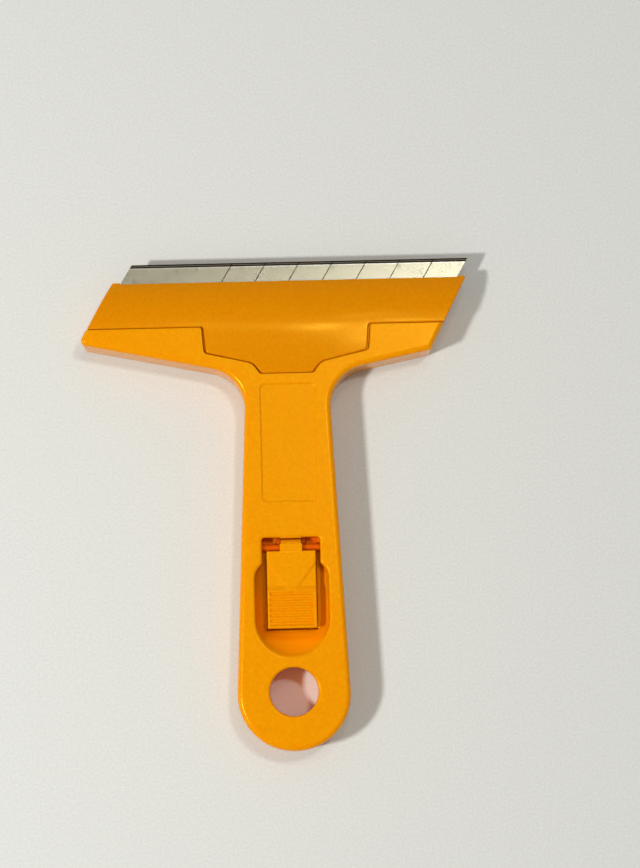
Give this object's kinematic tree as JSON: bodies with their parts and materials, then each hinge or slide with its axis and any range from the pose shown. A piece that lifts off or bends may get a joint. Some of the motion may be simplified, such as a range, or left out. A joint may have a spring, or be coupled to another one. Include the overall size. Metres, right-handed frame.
{
  "type": "razor blade scraper",
  "caption": "T-shaped hand scraper: a snap-off blade clamped between a plastic handle and a pull-out head that a rocking button releases.",
  "frame": {"origin": "on the hanging hole's axis, at the plane of the handle's back", "axes": "+Z out of the front face, +Y along the handle from the hanging hole to the blade, +X to the right with the blade up"},
  "size_m": [0.115, 0.1446, 0.015],
  "materials": {
    "orange_plastic": "satin moulded",
    "blade_steel": "ground and oiled",
    "spring_steel": "tempered",
    "screw_steel": "zinc plated"
  },
  "bodies": {
    "handle": {"handle_shell": "orange_plastic", "back_plate": "orange_plastic", "button_pin": "orange_plastic", "back_screw_1": "screw_steel", "back_screw_2": "screw_steel", "back_screw_3": "screw_steel", "back_screw_4": "screw_steel"},
    "head": {"head_cover": "orange_plastic", "blade": "blade_steel", "latch_spring": "spring_steel", "latch_rivet": "spring_steel"},
    "button": {"release_button": "orange_plastic"}
  },
  "joints": [
    {"name": "head_slide", "type": "slide", "parent": "handle", "child": "head", "axis": [0, 1, 0], "range_m": [0, 0.095], "deforming": ["latch_spring"]},
    {"name": "button_press", "type": "hinge", "parent": "handle", "child": "button", "pos_m": [0, 0.0421, 0.0121], "axis": [1, 0, 0], "range_deg": [0, 9], "stiffness_Nm_per_rad": 0.3, "springref_deg": -5.73, "deforming": ["latch_spring"]}
  ]
}
